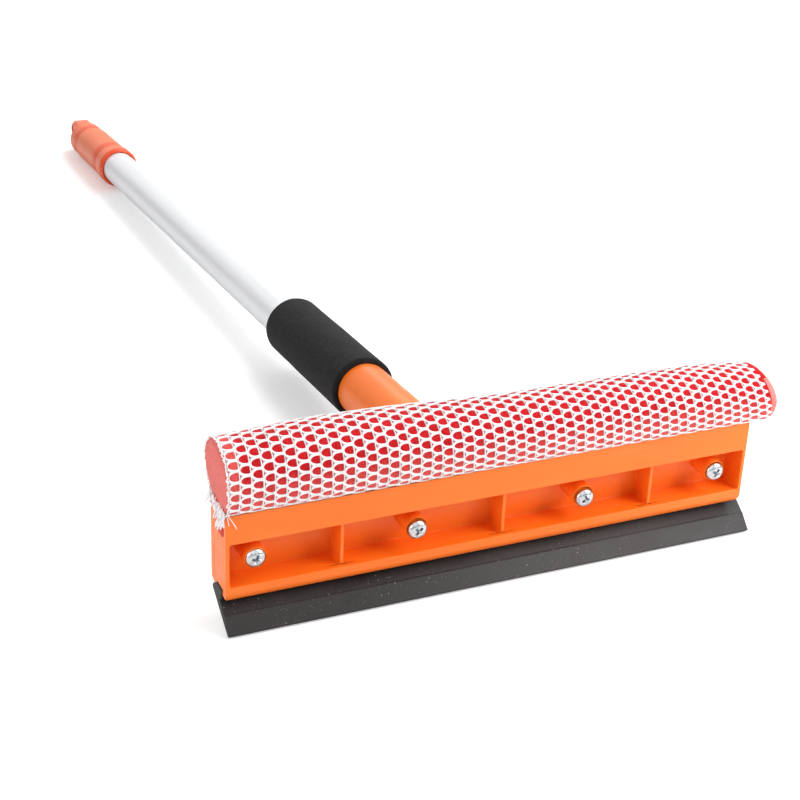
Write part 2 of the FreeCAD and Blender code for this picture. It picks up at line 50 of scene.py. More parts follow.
# ------------------------------------------------------------------ frames
# the head leans by FLOOR_ANGLE, in radians; the middle of the blade's working edge is the origin
FLOOR_ANGLE = 0.0710281
HANDLE_RAKE = math.radians(5.6)
MM = Matrix.Scale(0.001, 4)
HEAD = (MM @ Matrix.Translation((0, 0.65, 0)) @ Matrix.Rotation(FLOOR_ANGLE, 4, "X")
        @ Matrix.Translation((-1.5, 3.0, 16.7)))
HANDLE = HEAD @ Matrix.Translation((0, 0, 16.4)) @ Matrix.Rotation(-HANDLE_RAKE, 4, "X")


# ------------------------------------------------------------------ mesh helpers
def mesh_from(bm, name):
    """Ends a bmesh as a mesh whose faces all look outward."""
    bmesh.ops.recalc_face_normals(bm, faces=bm.faces)
    mesh = bpy.data.meshes.new(name)
    bm.to_mesh(mesh)
    bm.free()
    return mesh


def bridge(bm, ring, after):
    """Joins two closed rings of equally many vertices with quads, and gives the new faces."""
    count = len(ring)
    return [bm.faces.new((ring[i], ring[(i + 1) % count], after[(i + 1) % count], after[i]))
            for i in range(count)]


def add_object(name, mesh, material, transform=HEAD):
    """Puts a mesh drawn in millimetres into the row frame, on the head, with its material."""
    mesh.transform(transform)
    obj = bpy.data.objects.new(name, mesh)
    bpy.context.scene.collection.objects.link(obj)
    obj.data.materials.append(material)
    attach(obj, HEAD_BODY)
    return obj


def smooth(obj, angle):
    """Smooth shading, with edges steeper than the angle kept sharp."""
    mesh = obj.data
    mesh.polygons.foreach_set("use_smooth", [True] * len(mesh.polygons))
    mesh.set_sharp_from_angle(angle=math.radians(angle))


def lathe(name, profile, segments):
    """Closed mesh of revolution about Y from (y, radius) points; a radius of 0 closes on the axis."""
    bm = bmesh.new()
    rings = []
    for y, r in profile:
        if r == 0:
            rings.append([bm.verts.new((0, y, 0))])
            continue
        turns = [2 * math.pi * i / segments for i in range(segments)]
        rings.append([bm.verts.new((r * math.cos(t), y, r * math.sin(t))) for t in turns])
    for ring, after in zip(rings, rings[1:] + rings[:1]):
        if len(ring) > 1 and len(after) > 1:
            bridge(bm, ring, after)
        elif len(ring) > 1 or len(after) > 1:
            for i in range(segments):
                j = (i + 1) % segments
                if len(ring) == 1:
                    bm.faces.new((ring[0], after[j], after[i]))
                else:
                    bm.faces.new((ring[i], ring[j], after[0]))
    return mesh_from(bm, name)


def corner(centre, radius, start, end, steps=6):
    """(y, radius) points along a rounded corner, from one angle to another in degrees."""
    turns = [math.radians(start + (end - start) * i / steps) for i in range(steps + 1)]
    return [(centre[0] + radius * math.cos(t), centre[1] + radius * math.sin(t)) for t in turns]


# edges steeper than this are eased on the CAD nodes; flat faces and split points are joined first
EASED_ANGLE, FLAT_ANGLE = math.radians(32), math.radians(0.5)
SAME_POINT = 2e-6
NORMAL_WEIGHT = 80


def dress(node, material, bevel):
    """Gives a CAD node its material and eases its edges with modifiers; bevel 0 keeps them crisp."""
    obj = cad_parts[node]
    obj.data.materials.clear()
    obj.data.materials.append(material)
    weld = obj.modifiers.new("weld", "WELD")
    weld.merge_threshold = SAME_POINT
    obj.data.polygons.foreach_set("use_smooth", [True] * len(obj.data.polygons))
    if not bevel:
        crisp = obj.modifiers.new("crisp", "EDGE_SPLIT")
        crisp.split_angle = EASED_ANGLE
        return
    flat = obj.modifiers.new("flat", "DECIMATE")
    flat.decimate_type = "DISSOLVE"
    flat.angle_limit = FLAT_ANGLE
    ease = obj.modifiers.new("ease", "BEVEL")
    ease.width = bevel * 0.001
    ease.segments = 2
    ease.limit_method = "ANGLE"
    ease.angle_limit = EASED_ANGLE
    ease.use_clamp_overlap = False
    even = obj.modifiers.new("even", "WEIGHTED_NORMAL")
    even.keep_sharp = True
    even.weight = NORMAL_WEIGHT


# ------------------------------------------------------------------ material helpers
class Nodes:
    """Small builder for one procedural material in object space, in metres, or for the world."""

    def __init__(self, name, owners=None):
        self.material = (bpy.data.materials if owners is None else owners).new(name)
        self.material.use_nodes = True
        self.tree = self.material.node_tree
        self.shader = self.tree.nodes.get("Principled BSDF")
        self.place = self.tree.nodes.new("ShaderNodeTexCoord").outputs["Object"]

    def node(self, kind, **values):
        made = self.tree.nodes.new(kind)
        for key, value in values.items():
            if key in made.inputs:
                self.feed(made.inputs[key], value)
            else:
                setattr(made, key, value)
        return made

    def feed(self, socket, value):
        if isinstance(value, bpy.types.NodeSocket):
            self.tree.links.new(value, socket)
        else:
            socket.default_value = value

    def set(self, **values):
        for key, value in values.items():
            self.feed(self.shader.inputs[key.replace("_", " ")], value)

    def noise(self, scale, detail=3.0, roughness=0.55, stretch=None):
        at = self.place
        if stretch:
            at = self.node("ShaderNodeMapping", Vector=at, Scale=stretch).outputs["Vector"]
        made = self.node("ShaderNodeTexNoise", Vector=at, Scale=scale, Detail=detail,
                         Roughness=roughness)
        return made.outputs["Fac"]

    def cells(self, scale):
        return self.node("ShaderNodeTexVoronoi", Vector=self.place, Scale=scale).outputs["Distance"]

    def axis(self, vector, letter):
        return self.node("ShaderNodeSeparateXYZ", Vector=vector).outputs[letter]

    def ramp(self, value, *stops):
        made = self.node("ShaderNodeValToRGB", Fac=value)
        ramp = made.color_ramp
        while len(ramp.elements) < len(stops):
            ramp.elements.new(0.5)
        for element, (place, colour) in zip(ramp.elements, stops):
            element.position = place
            element.color = (*colour, 1) if len(colour) == 3 else (colour[0], colour[0], colour[0], 1)
        return made.outputs["Color"]

    def math(self, operation, a, b):
        made = self.tree.nodes.new("ShaderNodeMath")
        made.operation = operation
        self.feed(made.inputs[0], a)
        self.feed(made.inputs[1], b)
        return made.outputs["Value"]

    def mix(self, factor, a, b):
        made = self.tree.nodes.new("ShaderNodeMix")
        made.data_type = "RGBA"
        self.feed(made.inputs[0], factor)
        for socket, value in ((made.inputs[6], a), (made.inputs[7], b)):
            if isinstance(value, tuple) and len(value) == 3:
                value = (*value, 1)
            self.feed(socket, value)
        return made.outputs[2]

    def bump(self, *layers):
        """Stacks (height, strength, distance in mm) layers into the shader's normal."""
        normal = None
        for height, strength, depth in layers:
            made = self.node("ShaderNodeBump", Height=height, Strength=strength, Distance=depth * 0.001)
            if normal:
                self.feed(made.inputs["Normal"], normal)
            normal = made.outputs["Normal"]
        self.set(Normal=normal)


SCUFFED, SCUFF_SHARE = (0.98, 0.33, 0.10), 0.16
# painted shade: the deeper, redder orange laid into the end grip's hollows
GRIP_HOLLOW_SHADE = (0.86, 0.070, 0.001)
# how much painted shade the end grip's hollows take at stations along the handle, from 0 to 1
GRIP_FROM, GRIP_TO = 640, 760
GRIP_HOLLOW_SHADING = ((645, 1.0), (650.5, 1.0), (652.5, 0.0), (663.0, 0.0), (664.0, 1.0), (674, 0.8),
                (679, 0.0), (727.0, 0.0), (728.5, 1.0), (737, 0.8), (741, 0.15), (756, 0.15))


def moulded_plastic(name, dark, light, shaded_hollows=False):
    """Moulded orange; on the end grip, painted shade makes the hollows of its steps deeper in colour.
    """
    m = Nodes(name)
    broad = m.noise(16, 2.0)
    flow = m.noise(900, 2.0, 0.6, (0.025, 1.0, 1.0))
    scuffs = m.ramp(m.noise(240, 3.0, 0.7, (0.10, 1.0, 1.0)), (0.56, (0.0,)), (0.80, (1.0,)))
    tint = m.ramp(broad, (0.3, dark), (0.7, light))
    # painted shade in the end grip's hollows, by station along the handle
    if shaded_hollows:
        back = HANDLE.inverted()
        at = m.node("ShaderNodeMapping", Vector=m.place, Location=back.to_translation(),
                    Rotation=back.to_euler(), Scale=(1000, 1000, 1000)).outputs["Vector"]
        length = GRIP_TO - GRIP_FROM
        share = m.math("DIVIDE", m.math("SUBTRACT", m.axis(at, "Y"), GRIP_FROM), length)
        stops = [((station - GRIP_FROM) / length, (depth,)) for station, depth in GRIP_HOLLOW_SHADING]
        tint = m.mix(m.ramp(share, *stops), tint, GRIP_HOLLOW_SHADE)
    m.set(Base_Color=m.mix(m.math("MULTIPLY", scuffs, SCUFF_SHARE), tint, SCUFFED))
    m.set(Roughness=m.ramp(m.noise(120, 4.0), (0.3, (0.30,)), (0.7, (0.42,))))
    m.set(IOR=1.45)
    m.bump((m.noise(2600, 2.0), 0.14, 0.02), (flow, 0.20, 0.04), (m.noise(45, 2.0), 0.25, 0.25))
    return m.material


# the specks' dust, and a grey film that is painted sheen with some dust in it
DUST, SHEEN_AND_DUST_FILM = (0.46, 0.42, 0.40), (0.062, 0.058, 0.057)
# half the blade's length, in metres
BLADE_HALF = 0.127


def blade_rubber():
    """Black rubber with specks of dust, and a thin grey film over the middle and right: painted sheen,
    with some dust in it.
    """
    m = Nodes("blade_rubber")
    smudge = m.noise(45, 5.0, 0.65, (0.5, 1.0, 1.0))
    grey = m.ramp(smudge, (0.30, (0.008, 0.0075, 0.0075)), (0.74, (0.026, 0.0238, 0.0238)))
    # painted sheen with some dust: a grey film, strongest right of the blade's middle
    share = m.math("DIVIDE", m.math("ADD", m.axis(m.place, "X"), BLADE_HALF), 2 * BLADE_HALF)
    sheen_and_dust = m.ramp(share, (0.25, (0.0,)), (0.50, (0.36,)), (0.76, (0.55,)), (0.94, (0.10,)))
    patchy = m.ramp(smudge, (0.3, (0.7,)), (0.7, (1.0,)))
    grey = m.mix(m.math("MULTIPLY", sheen_and_dust, patchy), grey, SHEEN_AND_DUST_FILM)
    big = m.ramp(m.cells(330), (0.045, (1.0,)), (0.075, (0.0,)))
    small = m.ramp(m.cells(900), (0.07, (1.0,)), (0.12, (0.0,)))
    patch = m.noise(70, 3.0)
    dust = m.math("MAXIMUM", m.math("MULTIPLY", big, m.ramp(patch, (0.42, (0.0,)), (0.52, (1.0,)))),
                  m.math("MULTIPLY", small, m.ramp(patch, (0.34, (0.0,)), (0.60, (0.6,)))))
    m.set(Base_Color=m.mix(dust, grey, DUST))
    m.set(Roughness=m.ramp(smudge, (0.3, (0.42,)), (0.75, (0.62,))))
    m.set(Specular_IOR_Level=0.3)
    m.bump((m.noise(900, 3.0), 0.25, 0.05), (m.noise(70, 2.0, 0.5, (0.2, 1, 1)), 0.25, 0.25))
    return m.material


# x of the sponge's left end in metres, near which painted light makes the foam pale, and how pale
# painted light bounced from the floor makes the side facing it
PALE_END, FLOOR_BOUNCE_PALENESS = -0.1265, 0.85


def sponge_foam(name, dark, light, pale):
    """Open-cell foam; pale is painted light on it where it faces the floor, bounced up from there, and
    near its left end.
    """
    m = Nodes(name)
    pores = m.cells(1500)
    broad = m.noise(420, 4.0)
    facing = m.axis(m.node("ShaderNodeNewGeometry").outputs["Normal"], "Z")
    # painted light bounced up from the floor, on the side that faces it
    low = m.ramp(m.math("ADD", facing, 0.5), (0.08, (1.0,)), (0.62, (0.0,)))
    base = m.mix(m.ramp(broad, (0.3, (0.0,)), (0.75, (1.0,))), dark, light)
    # painted light near the left end
    centimetres = m.math("MULTIPLY", m.math("ADD", m.axis(m.place, "X"), -PALE_END), 100.0)
    edge = m.ramp(centimetres, (0.45, (0.8,)), (0.68, (0.0,)))
    base = m.mix(m.math("MAXIMUM", m.math("MULTIPLY", low, FLOOR_BOUNCE_PALENESS), edge), base, pale)
    # painted shade in the pores: darker at their centres
    pore_shade = m.ramp(pores, (0.10, (0.5,)), (0.50, (0.0,)))
    m.set(Base_Color=m.mix(pore_shade, base, tuple(c * 0.5 for c in dark)))
    m.set(Roughness=0.9, Specular_IOR_Level=0.2, Sheen_Weight=0.14, Sheen_Roughness=0.45)
    m.set(Sheen_Tint=(1.0, 0.72, 0.70, 1.0))
    m.bump((pores, 0.8, 0.30), (broad, 0.5, 0.4))
    return m.material


# painted shade: the red dark of the slits and the holes' inner walls
NET_SHADOW = (0.18, 0.006, 0.02)


def knitted_net():
    """White yarn; the mesh's own attribute paints a red shade into its slits and inner walls."""
    m = Nodes("knitted_net")
    strands = m.noise(620, 4.0, 0.7, (1.0, 0.45, 0.45))
    fluff = m.noise(2600, 3.0)
    shade = m.ramp(strands, (0.32, (0.74, 0.66, 0.67)), (0.50, (0.95, 0.93, 0.935)))
    groove_shade = m.node("ShaderNodeAttribute", attribute_name="groove_shade").outputs["Fac"]
    sunk = m.ramp(groove_shade, (0.12, (0.0,)), (0.5, (0.25,)), (0.85, (1.0,)))
    shade = m.mix(sunk, shade, NET_SHADOW)
    m.set(Base_Color=shade, Roughness=0.8, Specular_IOR_Level=0.3)
    m.set(Sheen_Weight=0.2, Sheen_Roughness=0.5)
    m.bump((strands, 0.6, 0.22), (fluff, 0.5, 0.08))
    return m.material


def sleeve_foam():
    m = Nodes("sleeve_foam")
    cells = m.cells(1100)
    mottled = m.noise(480, 4.0, 0.7)
    m.set(Base_Color=m.ramp(mottled, (0.35, (0.005, 0.0048, 0.0047)), (0.70, (0.016, 0.0152, 0.015))))
    m.set(Roughness=0.85, Specular_IOR_Level=0.13, Sheen_Weight=0.06, Sheen_Roughness=0.5)
    m.bump((cells, 0.55, 0.16), (m.noise(160, 3.0), 0.3, 0.25))
    return m.material


def satin_tube(name, dark, light, metallic=0.4):
    m = Nodes(name)
    drawn = m.noise(300, 2.0, 0.5, (1.0, 0.004, 1.0))
    m.set(Base_Color=m.ramp(drawn, (0.3, dark), (0.7, light)))
    m.set(Metallic=metallic)
    m.set(Roughness=m.ramp(m.noise(300, 3.0), (0.3, (0.36,)), (0.7, (0.42,))))
    m.bump((m.noise(2200, 2.0), 0.08, 0.02),)
    return m.material


def bright_zinc(name, dark, light):
    m = Nodes(name)
    m.set(Base_Color=m.ramp(m.noise(900, 3.0), (0.3, dark), (0.7, light)))
    m.set(Metallic=1.0)
    m.set(Roughness=m.ramp(m.noise(1500, 2.0), (0.3, (0.16,)), (0.7, (0.28,))))
    m.bump((m.noise(1300, 2.0), 0.3, 0.05),)
    return m.material


def lock_plastic(name, dark, light):
    m = Nodes(name)
    m.set(Base_Color=m.ramp(m.noise(200, 3.0), (0.3, dark), (0.7, light)))
    m.set(Roughness=m.ramp(m.noise(400, 3.0), (0.3, (0.40,)), (0.7, (0.52,))))
    m.bump((m.noise(2000, 2.0), 0.15, 0.03),)
    return m.material


ORANGE = moulded_plastic("orange_plastic", (0.92, 0.172, 0.008), (0.95, 0.190, 0.011))
GRIP = moulded_plastic("grip_plastic", (0.95, 0.190, 0.066), (0.98, 0.220, 0.086), shaded_hollows=True)
RUBBER = blade_rubber()
SPONGE = sponge_foam("sponge_foam", (0.46, 0.004, 0.008), (0.68, 0.010, 0.017), (0.78, 0.11, 0.095))
SPONGE_CUT = sponge_foam("sponge_cut", (0.77, 0.205, 0.18), (0.83, 0.275, 0.24), (0.78, 0.17, 0.145))
NET = knitted_net()
FOAM = sleeve_foam()
TUBE = satin_tube("satin_tube", (0.84, 0.85, 0.87), (0.90, 0.905, 0.92))
INNER = satin_tube("inner_tube_metal", (0.56, 0.57, 0.59), (0.70, 0.705, 0.72), 1.0)
ZINC = bright_zinc("bright_zinc", (0.42, 0.44, 0.46), (0.74, 0.76, 0.78))
# painted shade: a dark blue-grey metal for the shade in the screws' cross recesses
RECESS_SHADE = bright_zinc("recess_shade_zinc", (0.09, 0.12, 0.17), (0.24, 0.29, 0.36))
BLACK = lock_plastic("black_plastic", (0.018, 0.018, 0.020), (0.032, 0.032, 0.034))
WHITE = lock_plastic("white_plastic", (0.74, 0.74, 0.72), (0.83, 0.83, 0.81))

# ------------------------------------------------------------------ CAD pieces that show as they are
dress("clamp_plate", ORANGE, 0.35)
dress("back_plate", ORANGE, 0)
dress("end_grip", GRIP, 0.5)
dress("outer_tube", TUBE, 0.15)
dress("inner_tube", INNER, 0.15)
dress("mouth_bush", BLACK, 0.2)
dress("lock_plug", BLACK, 0.2)
dress("lock_sleeve", WHITE, 0.2)
dress("lock_cone", WHITE, 0.2)
dress("neck_screw", ZINC, 0.1)
dress("grip_screw", ZINC, 0.1)

# ------------------------------------------------------------------ sponge roll and net
SLOT_FRONT, SLOT_BACK, SLOT_FLOOR, HEAD_TOP = 2.4, 12.8, 27.3, 40.0
ROLL_RADIUS = 14.4
ROLL_Y, ROLL_Z = 9.0, 54.0
# where the roll's front leaves the circle, its angle at the rim, and how far its back goes round
CURL_START, CURL_END, LEAN_BACK = math.radians(-5), math.radians(70), math.radians(72)
# pull of the curl's two ends, and the clamp's outer rim that it starts from
CURL_UPPER, CURL_LOWER = 7.0, 4.5
RIM_Y, RIM_Z = -0.3, 39.8
# right of this x the roll hangs past the slot and has no tail
TAIL_RIGHT = 124.5


def blend(table, x):
    """Values of the table's rows at x, between its first column's entries."""
    x = min(max(x, table[0][0]), table[-1][0] - 0.01)
    for low, high in zip(table, table[1:]):
        if x < high[0]:
            t = (x - low[0]) / (high[0] - low[0])
            return [a + (b - a) * t for a, b in zip(low[1:], high[1:])]


# x, and how much fuller the roll is there than its drawn circle
SWELL = ((-125, 0.85), (-98, 1.3), (-80, 1.42), (-51, 1.15), (-20, 0.5), (5, 0.05), (78, -0.2),
         (104, -0.55), (119, -1.15), (134, -2.0))


def swell(x):
    """How much fuller the soft roll is at x; it sinks towards the right end."""
    return blend(SWELL, x)[0]


def curl(steps=16):
    """The roll's overhanging front as (y, z, normal y, normal z), from the rim up to the circle."""
    cos, sin = math.cos(CURL_START), math.sin(CURL_START)
    top = Vector((ROLL_Y - ROLL_RADIUS * cos, ROLL_Z - ROLL_RADIUS * sin))
    low = Vector((RIM_Y, RIM_Z))
    upper = top + Vector((sin, -cos)) * CURL_UPPER
    lower = low - Vector((math.sin(CURL_END), -math.cos(CURL_END))) * CURL_LOWER
    points = []
    for i in range(steps + 1):
        t = i / steps
        u = 1 - t
        at = low * u ** 3 + lower * 3 * u * u * t + upper * 3 * u * t * t + top * t ** 3
        way = ((lower - low) * u * u + (upper - lower) * 2 * u * t + (top - upper) * t * t).normalized()
        points.append((at.x, at.y, -way.y, way.x))
    return points


def roll_path(steps=150):
    """The net's outline as (arc, y, z, normal y, normal z, on roll), with arc 0 at the roll's front.

    From the slot it comes up over the front wall's top, leaves its outer rim, and runs round the roll.
    """
    front = curl()
    arc = -ROLL_RADIUS * CURL_START
    rise = [0.0]
    for a, b in zip(front, front[1:]):
        rise.append(rise[-1] + math.hypot(b[0] - a[0], b[1] - a[1]))
    land = SLOT_FRONT - RIM_Y
    depth = HEAD_TOP - SLOT_FLOOR
    foot = arc - rise[-1]
    points = [(foot - land - depth, SLOT_FRONT + 0.05, SLOT_FLOOR + 0.4, -1.0, 0.0, 0.0),
              (foot - land - 0.5, SLOT_FRONT + 0.05, HEAD_TOP - 0.4, -1.0, 0.1, 0.0),
              (foot - land + 0.3, SLOT_FRONT - 0.1, RIM_Z + 0.1, -0.6, 0.8, 0.0),
              (foot - 0.7, RIM_Y + 0.6, RIM_Z + 0.1, -0.2, 0.95, 0.0)]
    for up, (y, z, ny, nz) in zip(rise, front[:-1]):
        points.append((foot + up, y, z, ny, nz, up / rise[-1]))
    sweep = math.pi + CURL_START + LEAN_BACK
    for i in range(steps + 1):
        turn = math.pi + CURL_START - sweep * i / steps
        ny, nz = math.cos(turn), math.sin(turn)
        points.append((arc + ROLL_RADIUS * sweep * i / steps, ROLL_Y + ROLL_RADIUS * ny,
                       ROLL_Z + ROLL_RADIUS * nz, ny, nz, 1.0))
    end = arc + ROLL_RADIUS * sweep
    points.append((end + 1.4, SLOT_BACK, HEAD_TOP - 0.4, 1.0, 0.0, 0.0))
    points.append((end + 1.4 + depth, SLOT_BACK, SLOT_FLOOR + 0.4, 1.0, 0.0, 0.0))
    return points


PATH = roll_path()
ARC_START, ARC_END = PATH[0][0], PATH[-1][0]


def on_path(arc, x, lift):
    """Point at that arc and x, lifted out from the net's own outline."""
    low, high = 0, len(PATH) - 1
    while high - low > 1:
        mid = (low + high) // 2
        if PATH[mid][0] <= arc:
            low = mid
        else:
            high = mid
    a, b = PATH[low], PATH[high]
    t = min(max((arc - a[0]) / (b[0] - a[0]), 0.0), 1.0)
    y, z, ny, nz, roll = (a[i] + (b[i] - a[i]) * t for i in range(1, 6))
    size = math.hypot(ny, nz)
    ny, nz = ny / size, nz / size
    full = swell(x) * roll
    y += full * (1 + (y - ROLL_Y) / ROLL_RADIUS)
    z += full * (0.86 + (z - ROLL_Z) / ROLL_RADIUS)
    if x > TAIL_RIGHT:
        z = max(z, HEAD_TOP + 0.5)
    return Vector((x, y + ny * lift, z + nz * lift))


def right_end(y, z):
    """Where the slanted cut leaves the sponge's right end."""
    return min(135.2, 132.2 - 0.176 * (y - ROLL_Y) - 0.24 * (z - ROLL_Z))


def left_end(y, z):
    """Where the sponge's left end lies: it bulges a little and is cut back towards its tail."""
    away = math.hypot(y - ROLL_Y, z - ROLL_Z) / ROLL_RADIUS
    bulge = 0.7 * max(0.0, 1 - away * away)
    return -126.4 + 0.042 * min(max(ROLL_Z + ROLL_RADIUS - z, 0.0), 28.4) - bulge


# the sponge lies this far under the net's line, give or take its unevenness, with rims this round
SKIN, UNEVEN, SKIN_GRAIN = -0.45, 0.16, 0.35
RIM_ROUND, RIM_DROP = 1.6, 1.1
# widths of cut colour that show at the two ends
CUT_LEFT, CUT_RIGHT = 1.9, 3.4


def make_sponge():
    """Sponge roll with a soft, slightly uneven skin, rounded rims and two cut end faces."""
    around, columns = 170, 150
    arcs = [ARC_START + (ARC_END - ARC_START) * i / around for i in range(around + 1)]
    rows = []
    for arc in arcs:
        base = on_path(arc, 0, SKIN)
        left, right = left_end(base.y, base.z), right_end(base.y, base.z)
        row = []
        for i in range(columns + 1):
            t = i / columns
            x = left + (right - left) * t
            skin = SKIN + UNEVEN * noise.noise(Vector((x * SKIN_GRAIN, arc * SKIN_GRAIN, 3.1)))
            rim = min(x - left, right - x)
            if rim < RIM_ROUND:
                skin -= RIM_DROP * (1 - math.sqrt(max(0.0, 1 - (1 - rim / RIM_ROUND) ** 2)))
            row.append(on_path(arc, x, skin))
        rows.append(row)
    bm = bmesh.new()
    grid = [[bm.verts.new(p) for p in row] for row in rows]
    count = len(grid)
    for r in range(count):
        nxt = (r + 1) % count
        for i in range(columns):
            bm.faces.new((grid[r][i], grid[r][i + 1], grid[nxt][i + 1], grid[nxt][i]))
    for side in (0, columns):
        ring = [row[side] for row in grid]
        centre = Vector((0, 0, 0))
        for v in ring:
            centre += v.co
        centre /= count
        for before, share in ((1, 0.86), (0.86, 0.6), (0.6, 0.3)):
            inner = []
            for v in ring:
                p = centre + (v.co - centre) * (share / before)
                lump = 0.35 * noise.noise(Vector((p.y * 0.6, p.z * 0.6, side)))
                p.x = (left_end(p.y, p.z) if side == 0 else right_end(p.y, p.z)) + lump
                inner.append(bm.verts.new(p))
            for face in bridge(bm, ring, inner):
                face.material_index = 1
            ring = inner
        cap = bm.faces.new(ring)
        cap.material_index = 1
    for face in bm.faces:
        x, y, z = face.calc_center_median()
        if z < HEAD_TOP + 1:
            face.material_index = 0
        elif not left_end(y, z) + CUT_LEFT < x < right_end(y, z) - CUT_RIGHT:
            face.material_index = 1
    obj = add_object("sponge_roll", mesh_from(bm, "sponge_roll"), SPONGE)
    obj.data.materials.append(SPONGE_CUT)
    smooth(obj, 60)
    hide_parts("sponge")


# the net's cut in metres, holes included; the surface that it covers measures 251 to 270 mm along the
# roll and 106 to 114 mm round it over most of its length
ROW_PITCH = 4.35
HALF = ROW_PITCH / 2
COLUMNS, COLUMN_PITCH = 53, 4.75
NET_FIRST = -122.5
# the courses sink this much round the roll for each millimetre along it
COURSE_FALL = 0.025
# a column's real width: wide at the left, closing up a little with every column
COLUMN_WIDE, COLUMN_CLOSING = 4.87, 0.00285
WANDER = 0.28
HOLE_SIZE = 1.13
HOLE = ((1.62, -1.30), (1.70, -0.62), (1.72, 0.0), (1.70, 0.62), (1.62, 1.28), (0.95, 1.40),
        (0.10, 1.36), (-0.75, 1.15), (-1.35, 0.80), (-1.72, 0.42), (-1.84, 0.0), (-1.74, -0.45),
        (-1.38, -0.85), (-0.78, -1.20), (0.10, -1.42), (0.95, -1.46))
SLIT = 0.155
# rings of the thread from rim to hole: share of the way back to the rim, lift, and how much painted
# shade it gets
THREAD = ((0.74, 0.0, 0.0), (0.42, 0.02, 0.0), (0.17, -0.10, 0.0), (0.0, -0.32, 0.45),
          (-0.05, -0.66, 0.9))
RIM = ((0.5, -HALF), (0.5, -0.8), (0.5, 0.0), (0.5, 0.8), (0.5, HALF), (0.25, HALF), (0.0, HALF),
       (-0.25, HALF), (-0.5, HALF), (-0.5, 0.8), (-0.5, 0.0), (-0.5, -0.8), (-0.5, -HALF),
       (-0.25, -HALF), (0.0, -HALF), (0.25, -HALF))
# x, then how far the knit is pulled along the head there and round the roll
PULL = ((-125, 0.1, -1.6), (-111, 0.2, -1.7), (-71, 1.0, -2.2), (-10, 2.05, -1.55), (33, 2.4, -1.2),
        (78, 1.8, -0.75), (124, 1.05, 0.5), (134, 0.9, 0.7))


def column_x(column, arc):
    """Where a column of the knit lies; columns lean over to the right, and back behind the top."""
    lean = arc - 5.0 if arc < 22.0 else max(17.0 - 0.8 * (arc - 22.0), 0.0)
    x = NET_FIRST + COLUMN_WIDE * column - COLUMN_CLOSING * column * column
    return x - 0.29 * max(column / COLUMNS, 0.0) ** 1.3 * lean


def net_point(column, height, lift):
    """Point of the net in the knit's own columns and heights."""
    x = NET_FIRST + COLUMN_PITCH * column
    arc = height - COURSE_FALL * (x - NET_FIRST)
    wander = Vector((column * 0.55, height * 0.16, 0.0))
    arc += WANDER * noise.noise(wander)
    x = column_x(column, arc) + WANDER * noise.noise(wander + Vector((0, 0, 9.0)))
    along, around = blend(PULL, x)
    x, arc = x + along, arc + around
    arc = min(max(arc, ARC_START), ARC_END)
    return on_path(arc, x, lift)


def make_net():
    """The knitted sleeve: a staggered mesh of bell-shaped holes with a fine slit between neighbours."""
    random.seed(11)
    bm = bmesh.new()
    # each vertex carries how much painted red shade it gets
    groove_shade = bm.verts.layers.float.new("groove_shade")
    shared = {}

    def rim_vertex(column, height, dx, dy):
        split = 0.0
        side = "m"
        if dy == 0.0 and dx == 0.5:
            split, side = -SLIT, "r"
        elif abs(dy) == HALF and dx == -0.5:
            split, side = SLIT, "l"
        key = (round((column + dx) * 100), round((height + dy) * 50), side)
        if key not in shared:
            lift = -0.62 if split else -0.16
            shared[key] = bm.verts.new(net_point(column + dx + split, height + dy, lift))
            # painted shade: full in the slits, less on the borders between rows, a little elsewhere
            shared[key][groove_shade] = 1.0 if split else 0.4 if abs(dy) == HALF else 0.15
        return shared[key]

    first = int(ARC_START / ROW_PITCH) - 1
    last = int((ARC_END + 8) / ROW_PITCH) + 2
    for column in range(0, COLUMNS + 1):
        for row in range(first, last):
            height = ROW_PITCH * (row + (0.5 if column % 2 else 0.0)) + 1.95
            arc = height - COURSE_FALL * COLUMN_PITCH * column
            if not ARC_START - 1 < arc < ARC_END + 3:
                continue
            stretch = 1 + 0.05 * random.uniform(-1, 1)
            tall = 1 + 0.06 * random.uniform(-1, 1)
            rim = [rim_vertex(column, height, dx, dy) for dx, dy in RIM]
            rings = [rim]
            for share, lift, shade in THREAD:
                ring = []
                for (dx, dy), (hx, hy) in zip(RIM, HOLE):
                    hx = hx / COLUMN_PITCH * stretch * HOLE_SIZE
                    hy = hy * tall * HOLE_SIZE
                    if share < 0:
                        cx, cy = hx * 0.9, hy * 0.9
                    else:
                        cx, cy = hx + (dx - hx) * share, hy + (dy - hy) * share
                    ring.append(bm.verts.new(net_point(column + cx, height + cy, lift)))
                    ring[-1][groove_shade] = shade
                rings.append(ring)
            for outer, inner in zip(rings, rings[1:]):
                for i in range(len(RIM)):
                    j = (i + 1) % len(RIM)
                    middle = (RIM[i][0] + RIM[j][0]) / 2
                    if column == COLUMNS and middle > 0.12:
                        continue
                    bm.faces.new((outer[i], outer[j], inner[j], inner[i]))
    loose = [v for v in bm.verts if not v.link_faces]
    bmesh.ops.delete(bm, geom=loose, context="VERTS")
    obj = add_object("net_sleeve", mesh_from(bm, "net_sleeve"), NET)
    smooth(obj, 85)
    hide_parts("sponge_net")
    return obj


def add_thread(bm, points, radius):
    """Round thread through the points, tapering to its last one."""
    sides = 5
    previous = None
    for i, point in enumerate(points):
        ahead = points[min(i + 1, len(points) - 1)] - points[max(i - 1, 0)]
        across = ahead.orthogonal().normalized()
        up = ahead.cross(across).normalized()
        size = radius * (0.45 if i == len(points) - 1 else 1.0)
        ring = []
        for k in range(sides):
            turn = 2 * math.pi * k / sides
            ring.append(bm.verts.new(point + (across * math.cos(turn) + up * math.sin(turn)) * size))
        if previous:
            shift = min(range(sides), key=lambda n: (ring[n].co - previous[0].co).length)
            ring = ring[shift:] + ring[:shift]
            bridge(bm, previous, ring)
        else:
            bm.faces.new(ring[::-1])
        previous = ring
    bm.faces.new(previous)


